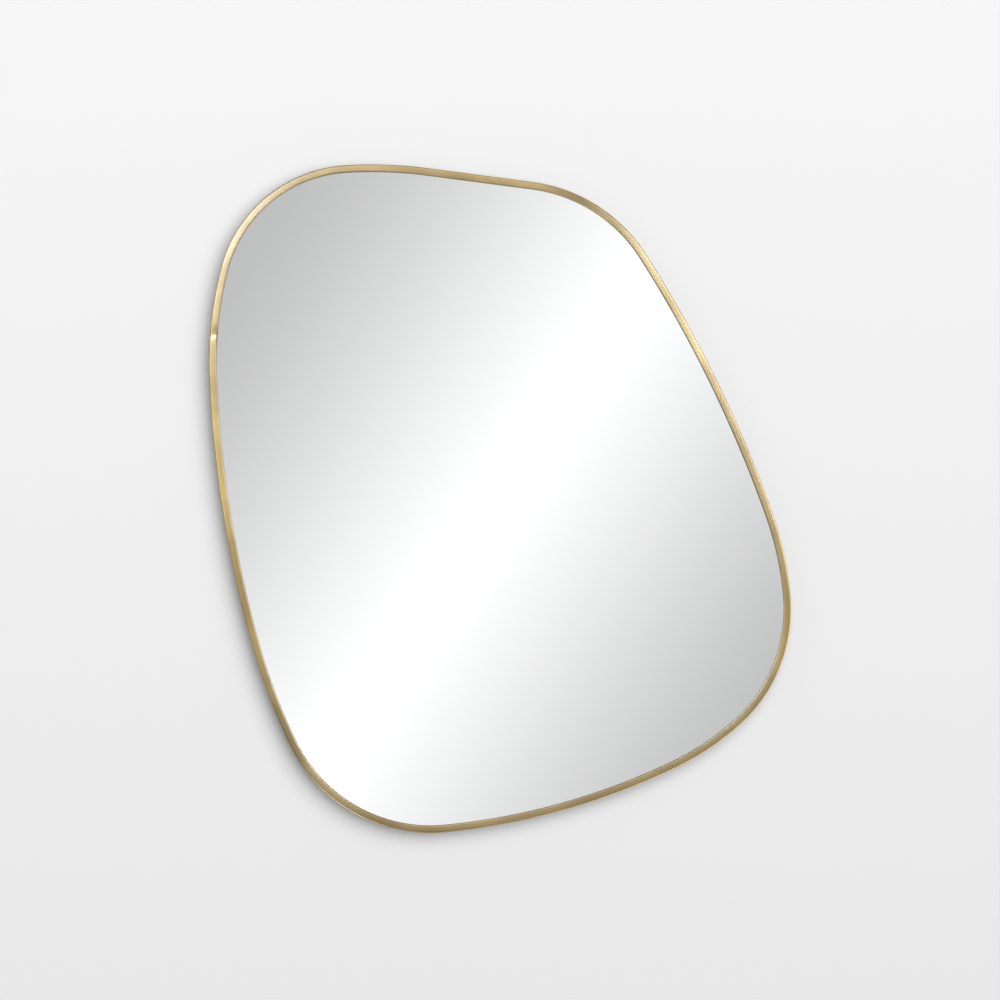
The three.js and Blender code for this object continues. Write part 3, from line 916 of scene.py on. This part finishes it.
def make_tabs():
    random = np.random.default_rng(5)
    finish = coated_brass()
    width = tab_width()
    for name in nodes_named("retaining_tab"):
        low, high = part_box(name)
        [centre] = screw_places(name.replace("retaining_tab", "tab_screw")).values()
        out = outline.out_near(centre.x, centre.z)
        away = [corner.x * out[0] + corner.z * out[1] for corner in corners_of(name)]
        reach, upstand = max(away) - min(away), high.y - low.y
        drop = max(away) - (centre.x * out[0] + centre.z * out[1])
        heel = Vector((centre.x + out[0] * drop, low.y, centre.z + out[1] * drop))
        cutters = corner_cutters(reach, width, tab_corner_radius, tab_thickness)
        cutters.append(round_cutter(tab_hole_radius, 0, -drop, -cutter_spare, tab_thickness + cutter_spare))
        bent = carved(tab_mesh(reach, upstand, width), joined("tab_cutters", cutters))
        beads = [weld_bead(side * width / 2, upstand, random) for side in (-1, 1)]
        mesh = joined(f"{name}_bent", [bent, *beads])
        turned = Matrix(((out[1], 0, out[0], 0), (0, 1, 0, 0), (-out[0], 0, out[1], 0), (0, 0, 0, 1)))
        matrix = Matrix.Translation(heel) @ turned
        soften(place(f"{name}_bent", mesh, [finish], name, matrix), tab_softening)


# ---- hangers ----


def strap_path(length, centre_depth):
    """The middle of the folded strip as (height, depth), from one end round the loop to the other."""
    lower, upper = strap_thickness / 2, strap_thickness * 1.5
    middle = loop_bore_radius + strap_thickness / 2
    path = [(-length, lower), (-length / 2, lower)]
    for a in np.radians(np.linspace(-90, loop_wrap, 25)):
        path.append((middle * math.cos(a), centre_depth + middle * math.sin(a)))
    slope = math.tan(math.radians(loop_wrap) - math.pi / 2)
    corner = np.array([path[-1][0] - (path[-1][1] - upper) / slope, upper])
    start = corner + strap_bend_reach / 2 * np.array([1, slope])
    end = corner - np.array([strap_bend_reach, 0])
    for share in np.linspace(0, 1, 6)[1:]:
        path.append((1 - share) ** 2 * start + 2 * share * (1 - share) * corner + share**2 * end)
    path += [(-length / 2, upper), (-length, upper)]
    return np.array(path)


def strap_mesh(length, width, centre_depth):
    """The strip folded double round the ring's bar, its two layers a hair apart."""
    path = strap_path(length, centre_depth)
    ahead = np.gradient(path, axis=0)
    ahead /= np.linalg.norm(ahead, axis=1)[:, None]
    side = np.column_stack([-ahead[:, 1], ahead[:, 0]]) * (strap_thickness - strap_layer_gap) / 2
    return extruded("strap", np.vstack([path + side, (path - side)[::-1]]), width)


def make_hangers(zinc, nickel):
    for joint in frame["joints"]:
        ring = joint["child"]
        side = ring.rsplit("_", 1)[1]
        axis = Vector(joint["pos_m"])
        make_strap(side, axis, zinc)
        make_ring(ring, axis, nickel)


def make_strap(side, axis, zinc):
    name = f"hanger_strap_{side}"
    low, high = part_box(name)
    length = axis.z - low.z
    width = high.x - low.x
    stack = 2 * strap_thickness
    cutters = corner_cutters(length, width, strap_corner_radius, stack)
    for centre in screw_places(f"hanger_screw_{side}").values():
        drop = axis.z - centre.z
        cutters.append(round_cutter(strap_hole_radius, 0, -drop, -cutter_spare, stack + cutter_spare))
    mesh = carved(strap_mesh(length, width, axis.y - low.y), joined("strap_cutters", cutters))
    matrix = Matrix.Translation((axis.x, low.y, axis.z))
    soften(place(f"{name}_folded", mesh, [zinc], name, matrix), strap_softening)


def make_ring(name, axis, nickel):
    """The D-ring's wire, in the leaning plane that the CAD ring hangs in."""
    farthest = max((corner - axis for corner in corners_of(name)), key=lambda v: math.hypot(v.y, v.z))
    lean = math.atan2(farthest.y, -farthest.z)
    reach = math.hypot(farthest.y, farthest.z) - wire_radius
    low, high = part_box(name)
    bend = (high.x - low.x) / 2 - wire_radius
    corner = ring_corner_radius
    stretches = (  # arcs, each with its centre, radius, first and last angle and steps
        (bend - corner, -corner, corner, 90, 0, 10),
        (0, bend - reach, bend, 0, -180, 48),
        (corner - bend, -corner, corner, 180, 90, 10),
    )
    path, normals = [], []
    for x, z, radius, first, last, steps in stretches:
        for a in np.radians(np.linspace(first, last, steps + 1)):
            normals.append((math.cos(a), math.sin(a)))
            path.append((x + radius * math.cos(a), z + radius * math.sin(a)))
    mesh = wire_loop("d_ring_wire", path, normals)
    matrix = Matrix.Translation(axis) @ Matrix.Rotation(lean, 4, "X")
    place(f"{name}_wire", mesh, [nickel], name, matrix, body=name)


# ---- bumpers ----


def bumper_profile(radius, height):
    """Half the bumper's section, from the board to the wall. A round groove runs in its wall side."""
    foot = [(0, 0), (radius - bumper_foot_chamfer, 0), (radius, bumper_foot_chamfer)]
    shoulder = [
        (radius - bumper_edge_radius * (1 - math.cos(a)), height - bumper_edge_radius * (1 - math.sin(a)))
        for a in np.linspace(0, math.pi / 2, 9)
    ]
    groove = []
    for a in np.linspace(math.pi, -math.pi, 13)[1:-1]:
        below = bumper_groove_depth * (1 + math.cos(a)) / 2
        groove.append((bumper_groove_radius + bumper_groove_half_width * math.sin(a), height - below))
    return [*foot, *shoulder, *groove, (bumper_middle_radius, height), (0, height)]


def make_bumpers():
    rubber = moulded_rubber()
    for name in nodes_named("wall_bumper"):
        low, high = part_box(name)
        profile = bumper_profile((high.x - low.x) / 2, high.y - low.y)
        mesh = lathe_mesh(f"{name}_moulded", profile, bumper_sides)
        matrix = Matrix.Translation(((low.x + high.x) / 2, low.y, (low.z + high.z) / 2))
        place(f"{name}_moulded", mesh, [rubber], name, matrix)


# ---- hidden sheets ----


def dress(prefix, finish):
    """Gives some CAD nodes a finish. Nothing shows them, so they keep their CAD shape."""
    for name in nodes_named(prefix):
        materials = frame["nodes"][name].data.materials
        materials.clear()
        materials.append(finish)


# ---- the studio ----

photo_width = 1.368  # metres across the picture, at the mirror's face
camera_distance = 3.8
view_offset = (-0.0001, -0.0018)  # of the picture's middle from the middle of the mirror
sensor_width = 36

wall_reach = 9.0
wall_behind = 0.4 * MM  # behind the bumpers
# painted shade: the wall's tone at the top and at the bottom of the picture, standing in for the light
# falling off down the wall
painted_wall_top_light = 0.93
painted_wall_bottom_shade = 0.807
floor_drop = 1.75  # below the hooks

# tints of the studio's soft lights
PLAIN = (1.03, 1.0, 0.95)
COOL = (0.89, 1.0, 1.4)
WARM = (1.12, 1.0, 0.5)
SKY = (0.78, 1.0, 1.8)

# Lights are given by degrees off the mirror's axis, degrees round it from the right, size in degrees,
# brightness and, if they have one, tint. A lamp's size is its radius.
wide_lamps = {  # what matt surfaces see
    "key_lamp": (25, 36, 35, 2.95),
    "rear_lamp": (145, 60, 30, 3.2),
}
ambient = 0.15
past_backdrops = 0.87  # what the camera sees there
soft_lamps = {  # what metal and glass see, and the washes and tones below
    "upper_left_lamp": (18, 140, 7, 7.2, SKY),
    "top_left_lamp": (24, 120, 7.5, 2.3, PLAIN),
    "upper_right_lamp": (24, 38, 8, 6.6, COOL),
    "right_lamp": (45, 20, 13, 4.3, COOL),
    "left_lamp": (33, 180, 10, 2.7, WARM),
}
washes = {  # these fade from their middle to their edge, and their size is their half-width
    "top_wash": (30, 90, 18, 2.9, PLAIN),
    "upper_left_wash": (42, 150, 22, 4.4, COOL),
    "right_wash": (80, 0, 32, 2.7, PLAIN),
    "lower_right_wash": (80, 330, 32, 2.0, WARM),
    "bottom_right_wash": (80, 300, 32, 3.3, PLAIN),
    "bottom_left_wash": (80, 240, 32, 2.9, COOL),
    "rear_wash": (150, 60, 40, 1.6, PLAIN),
    "rear_fill": (140, 200, 40, 0.8, PLAIN),
}
studio_tone = 0.03  # of the dim studio in front of the mirror, between the lights
rear_tone = 0.3  # behind the mirror
side_tones = (0.45, 0.13)  # added everywhere but near the axis, where the studio is unevenly lit
# where these come in, by a ray's Y, which is -1 straight in front of the mirror and 1 straight behind it
rear_range = (-0.2, 0.6)
side_range = (-0.92, -0.72)

# the white sheet straight in front of the mirror, lit along a slanted band
sheet_reach = 8.5  # degrees off the axis where it starts to fade out
sheet_end = 10.5
band_slant = -33  # degrees: the band's brightness falls off along this direction, either way
band_tones = (
    (0.0, 1.09), (0.012, 1.075), (0.03, 0.985), (0.07, 0.77), (0.10, 0.632), (0.122, 0.562), (0.2, 0.54),
)


def direction(off_axis, round_axis):
    """A unit vector, by degrees off the -Y axis, and degrees round it from +X towards +Z."""
    a, b = math.radians(off_axis), math.radians(round_axis)
    return Vector((math.sin(a) * math.cos(b), -math.cos(a), math.sin(a) * math.sin(b)))


def add_lamp(name, off_axis, round_axis, radius, strength):
    """A round lamp far away in a direction, with its radius in degrees and the light that it throws."""
    lamp = bpy.data.lights.new(name, "SUN")
    lamp.angle = 2 * math.radians(radius)
    lamp.energy = strength
    piece = add_object(name, lamp)
    piece.rotation_mode = "QUATERNION"
    piece.rotation_quaternion = direction(off_axis, round_axis).to_track_quat("Z", "Y")
    piece.visible_camera = False
    return piece


def make_lamps():
    """The wide lamps, and the small ones that only metal and glass see."""
    for name, lamp in wide_lamps.items():
        add_lamp(name, *lamp).visible_glossy = False
    for name, (off_axis, round_axis, radius, brightness, tint) in soft_lamps.items():
        strength = brightness * math.pi * math.sin(math.radians(radius)) ** 2
        piece = add_lamp(name, off_axis, round_axis, radius, strength)
        piece.data.color = tint
        piece.visible_diffuse = False


def one_sided(name, colour_of):
    """A matt backdrop that the camera doesn't see from behind."""
    material = bpy.data.materials.new(name)
    material.use_nodes = True
    tree = material.node_tree
    tree.nodes.clear()
    matt = node(tree, "BsdfDiffuse", {"Color": colour_of(tree)})
    clear = node(tree, "BsdfTransparent")
    behind = node(tree, "NewGeometry").outputs["Backfacing"]
    mixed = node(tree, "MixShader", (behind, matt.outputs[0], clear.outputs[0]))
    node(tree, "OutputMaterial", (mixed.outputs[0],))
    return material


def wall_colour_and_painted_shade(tree):
    """Painted shade: brighter towards the top and darker towards the bottom, as in the photograph, where
    the light falls off down the wall.
    """
    height = node(tree, "SeparateXYZ", (object_coordinates(tree),)).outputs["Z"]
    bottom = view_middle().z - photo_width / 2
    # painted shade: the wall's tone fades from the lit top down to the shaded bottom
    tone = remapped(tree, height, bottom, bottom + photo_width, painted_wall_bottom_shade, painted_wall_top_light)
    plaster = noise(tree, object_coordinates(tree), 30, 2.0, 0.5)
    tone = math_node(tree, "MULTIPLY", tone, remapped(tree, plaster, 0.0, 1.0, 0.998, 1.002))
    return node(tree, "CombineColor", (tone, tone, tone)).outputs[0]


def floor_colour(tree):
    grain = noise(tree, object_coordinates(tree), 4)
    return mixed_colour(tree, grain, grey(0.78), grey(0.82))


def view_middle():
    """The point on the mirror's face that the picture is centred on."""
    middle = (cad_low + cad_high) / 2
    return Vector((middle.x + view_offset[0], cad_low.y, middle.z + view_offset[1]))


def backdrop(name, corners, colour_of):
    """A flat sheet of the studio. The corners go round anticlockwise as seen from its good side."""
    mesh = bpy.data.meshes.new(name)
    mesh.from_pydata(corners, [], [tuple(range(len(corners)))])
    mesh.materials.append(one_sided(f"{name}_paint", colour_of))
    piece = add_object(name, mesh)
    piece.visible_glossy = False
    piece.visible_diffuse = False
    piece.visible_shadow = False


def make_backdrops():
    w, y, floor = wall_reach, wall_behind, -floor_drop
    backdrop("studio_wall", [(-w, y, floor), (w, y, floor), (w, y, w), (-w, y, w)], wall_colour_and_painted_shade)
    backdrop("studio_floor", [(-w, -w, floor), (w, -w, floor), (w, y, floor), (-w, y, floor)], floor_colour)


def wash_brightness(tree, ray, off_axis, round_axis, half_width, strength, full_width=0.0):
    """The brightness of one wash along a ray: full in its middle, fading to its edge."""
    nearness = vector_math(tree, "DOT_PRODUCT", ray, direction(off_axis, round_axis))
    angle = math_node(tree, "ARCCOSINE", nearness)
    full, edge = math.radians(full_width), math.radians(half_width)
    return remapped(tree, angle, full, edge, strength, 0.0, smooth=True)


def sheet_brightness(tree, ray, y):
    """The lit sheet: a bright slanted band, dimmer to both sides."""
    depth = math_node(tree, "MAXIMUM", math_node(tree, "MULTIPLY", y, -1.0), 0.001)
    slant = math.radians(band_slant)
    across = vector_math(tree, "DOT_PRODUCT", ray, (math.cos(slant), 0.0, math.sin(slant)))
    offset = math_node(tree, "ABSOLUTE", math_node(tree, "DIVIDE", across, depth))
    top = band_tones[-1][0]
    ramp = node(tree, "ValToRGB", (math_node(tree, "DIVIDE", offset, top),))
    stops = ramp.color_ramp.elements
    while len(stops) < len(band_tones):
        stops.new(0.5)
    brightest = band_tones[0][1]
    for stop, (at, tone) in zip(stops, band_tones):
        stop.position = at / top
        stop.color = grey(tone / brightest)
    return math_node(tree, "MULTIPLY", ramp.outputs[0], brightest)


def make_world():
    """Plain soft light for matt surfaces, and a lit studio for metal and glass."""
    world = bpy.data.worlds.new("studio")
    bpy.context.scene.world = world
    world.use_nodes = True
    world.cycles.sampling_method = "NONE"
    tree = world.node_tree
    tree.nodes.clear()
    ray = node(tree, "TexCoord").outputs["Generated"]
    y = node(tree, "SeparateXYZ", (ray,)).outputs["Y"]
    on_sheet = wash_brightness(tree, ray, 0, 0, sheet_end, 1.0, sheet_reach)
    washed = (0.0, 0.0, 0.0)
    for *shape, tint in washes.values():
        washed = vector_math(tree, "ADD", washed, scaled(tree, tint, wash_brightness(tree, ray, *shape)))
    washed = scaled(tree, washed, math_node(tree, "SUBTRACT", 1.0, on_sheet))
    uneven = remapped(tree, noise(tree, ray, 2.6, 1.0, 0.5), 0.35, 0.65, *side_tones, smooth=True)
    aside = remapped(tree, y, *side_range, 0.0, 1.0, smooth=True)
    side_room = math_node(tree, "MULTIPLY", aside, uneven)
    rear_room = remapped(tree, y, *rear_range, studio_tone, rear_tone, smooth=True)
    room = math_node(tree, "ADD", side_room, rear_room)
    sheet = sheet_brightness(tree, ray, y)
    plain = node(tree, "Mix", {0: on_sheet, 2: room, 3: sheet}, data_type="FLOAT").outputs[0]
    neutral = node(tree, "CombineColor", (plain, plain, plain)).outputs[0]
    seen = vector_math(tree, "ADD", neutral, washed)
    path = node(tree, "LightPath").outputs
    mirrored = math_node(tree, "ADD", path["Is Glossy Ray"], path["Is Transmission Ray"], clamp=True)
    matt = mixed_colour(tree, path["Is Camera Ray"], grey(ambient), grey(past_backdrops))
    colour = mixed_colour(tree, mirrored, matt, seen)
    glow = node(tree, "Background", {"Color": colour, "Strength": 1.0})
    node(tree, "OutputWorld", (glow.outputs[0],))


def make_camera():
    lens = bpy.data.cameras.new("camera")
    lens.sensor_width = sensor_width
    lens.lens = sensor_width * camera_distance / photo_width
    camera = add_object("camera", lens)
    middle = view_middle()
    camera.location = middle - Vector((0, camera_distance, 0))
    camera.rotation_euler = (math.pi / 2, 0, 0)
    bpy.context.scene.camera = camera


# ---- everything in place ----

make_camera()
zinc = plated_steel("zinc_plate", rgba(0.40, 0.41, 0.42), rgba(0.62, 0.63, 0.64), (0.30, 0.45))
nickel = plated_steel("nickel_plate", rgba(0.52, 0.51, 0.49), rgba(0.72, 0.71, 0.68), (0.18, 0.30))

make_frame()
make_gasket()
make_glass()
make_board()
make_screws(zinc)
make_tabs()
make_hangers(zinc, nickel)
make_bumpers()
dress("safety_film", clear_film())
dress("mounting_tape", foam("white_foam", rgba(0.62, 0.61, 0.57), rgba(0.78, 0.77, 0.73), 900))

make_backdrops()
make_world()
make_lamps()

scene = bpy.context.scene
scene.view_settings.view_transform = "Standard"
scene.cycles.caustics_reflective = False
